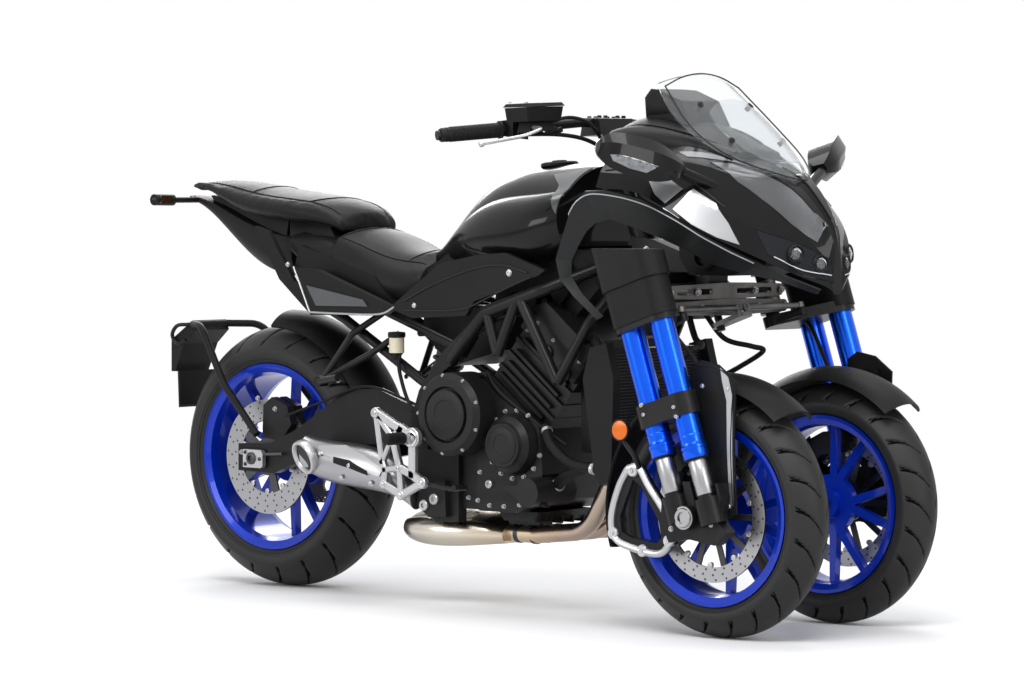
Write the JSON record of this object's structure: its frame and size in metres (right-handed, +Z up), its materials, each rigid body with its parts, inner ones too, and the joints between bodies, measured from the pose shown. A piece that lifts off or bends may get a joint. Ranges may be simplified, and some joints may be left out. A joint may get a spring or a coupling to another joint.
{
  "type": "leaning three-wheeled motorcycle",
  "caption": "Reverse trike: a leaning motorcycle steered by its paired front wheels, with outboard fork legs, a tubular frame, a windscreen and seats for rider and passenger.",
  "frame": {"origin": "on the floor, below the middle of the overall length and width", "axes": "+X forward, +Y to the rider's left, +Z up"},
  "size_m": [2.15, 0.8833, 1.25],
  "materials": {
    "arch_cowls": "gloss",
    "bar_controls": "matt",
    "brake_reservoir": "matt",
    "cockpit": "matt",
    "disc_rear": "satin",
    "disc_front": "satin",
    "drive_chain": "satin",
    "engine": "satin",
    "engine_covers": "satin",
    "exhaust_pipes": "satin",
    "fender": "matt",
    "footpegs": "satin",
    "fork_cover": "matt",
    "fork_foot": "satin",
    "fork_tubes": "gloss",
    "fork_yokes": "satin",
    "fuel_tank": "gloss",
    "handlebar": "satin",
    "headlights": "gloss",
    "main_frame": "satin",
    "mirrors": "gloss",
    "muffler": "satin",
    "nose_cowl": "gloss",
    "passenger_seat": "matt",
    "radiator": "satin",
    "rear_caliper": "satin",
    "rear_damper": "satin",
    "rear_mudguards": "matt",
    "rear_signals": "gloss",
    "rear_subframe": "satin",
    "rider_seat": "matt",
    "rim_front": "gloss",
    "rim_rear": "gloss",
    "side_panels": "matt",
    "side_stand": "satin",
    "steering_arm": "satin",
    "swingarm": "satin",
    "tail_cowl": "matt",
    "tie_rods": "satin",
    "tilting_arms": "satin",
    "tyre": "matt",
    "windscreen": "gloss"
  },
  "bodies": {
    "chassis": {"arch_cowls": "arch_cowls", "brake_reservoir": "brake_reservoir", "cockpit": "cockpit", "drive_chain": "drive_chain", "engine": "engine", "engine_covers": "engine_covers", "exhaust_pipes": "exhaust_pipes", "footpegs": "footpegs", "fuel_tank": "fuel_tank", "headlights": "headlights", "main_frame": "main_frame", "mirrors": "mirrors", "muffler": "muffler", "nose_cowl": "nose_cowl", "passenger_seat": "passenger_seat", "radiator": "radiator", "rear_caliper": "rear_caliper", "rear_damper": "rear_damper", "rear_mudguards": "rear_mudguards", "rear_signals": "rear_signals", "rear_subframe": "rear_subframe", "rider_seat": "rider_seat", "side_panels": "side_panels", "swingarm": "swingarm", "tail_cowl": "tail_cowl", "tilting_arms": "tilting_arms", "windscreen": "windscreen"},
    "handlebar": {"handlebar": "handlebar", "bar_controls": "bar_controls"},
    "steering_arm": {"steering_arm": "steering_arm"},
    "side_stand": {"side_stand": "side_stand"},
    "wheel_rear": {"tyre_rear": "tyre", "rim_rear": "rim_rear", "disc_and_sprocket_rear": "disc_rear"},
    "fork_right": {"fork_tubes_right": "fork_tubes", "fork_yokes_right": "fork_yokes", "fork_foot_right": "fork_foot", "fork_cover_right": "fork_cover", "fender_right": "fender"},
    "tie_rod_right": {"tie_rod_right": "tie_rods"},
    "wheel_front_right": {"tyre_front_right": "tyre", "rim_front_right": "rim_front", "disc_front_right": "disc_front"},
    "fork_left": {"fork_tubes_left": "fork_tubes", "fork_yokes_left": "fork_yokes", "fork_foot_left": "fork_foot", "fork_cover_left": "fork_cover", "fender_left": "fender"},
    "tie_rod_left": {"tie_rod_left": "tie_rods"},
    "wheel_front_left": {"tyre_front_left": "tyre", "rim_front_left": "rim_front", "disc_front_left": "disc_front"}
  },
  "joints": [
    {"name": "handlebar_turn", "type": "hinge", "parent": "chassis", "child": "handlebar", "pos_m": [0.291, 0, 1.128], "axis": [-0.4067, 0, 0.9135], "range_deg": [-27, 27]},
    {"name": "steering_arm_turn", "type": "hinge", "parent": "chassis", "child": "steering_arm", "pos_m": [0.62701, 0, 0.681], "axis": [-0.342, 0, 0.9397], "range_deg": [-27, 27]},
    {"name": "fork_right_turn", "type": "hinge", "parent": "chassis", "child": "fork_right", "pos_m": [0.62701, -0.205, 0.681], "axis": [-0.342, 0, 0.9397], "range_deg": [-27, 27]},
    {"name": "tie_rod_right_turn", "type": "hinge", "parent": "fork_right", "child": "tie_rod_right", "pos_m": [0.68663, -0.219, 0.72186], "axis": [-0.342, 0, 0.9397], "range_deg": [-27, 27]},
    {"name": "wheel_front_right_spin", "type": "hinge", "parent": "fork_right", "child": "wheel_front_right", "pos_m": [0.801, -0.205, 0.274], "axis": [0, 1, 0], "continuous": true},
    {"name": "fork_left_turn", "type": "hinge", "parent": "chassis", "child": "fork_left", "pos_m": [0.62701, 0.205, 0.681], "axis": [-0.342, 0, 0.9397], "range_deg": [-27, 27]},
    {"name": "tie_rod_left_turn", "type": "hinge", "parent": "fork_left", "child": "tie_rod_left", "pos_m": [0.68663, 0.219, 0.72186], "axis": [-0.342, 0, 0.9397], "range_deg": [-27, 27]},
    {"name": "wheel_front_left_spin", "type": "hinge", "parent": "fork_left", "child": "wheel_front_left", "pos_m": [0.801, 0.205, 0.274], "axis": [0, 1, 0], "continuous": true},
    {"name": "wheel_rear_spin", "type": "hinge", "parent": "chassis", "child": "wheel_rear", "pos_m": [-0.709, 0, 0.3228], "axis": [0, 1, 0], "continuous": true},
    {"name": "side_stand_swing", "type": "hinge", "parent": "chassis", "child": "side_stand", "pos_m": [-0.06, 0.18, 0.232], "axis": [0, -0.9659, -0.2588], "range_deg": [0, 100]}
  ],
  "couplings": [
    {"joint": "steering_arm_turn", "follows": "handlebar_turn", "ratio": 1},
    {"joint": "fork_right_turn", "follows": "handlebar_turn", "ratio": 1},
    {"joint": "tie_rod_right_turn", "follows": "handlebar_turn", "ratio": -1},
    {"joint": "fork_left_turn", "follows": "handlebar_turn", "ratio": 1},
    {"joint": "tie_rod_left_turn", "follows": "handlebar_turn", "ratio": -1}
  ]
}
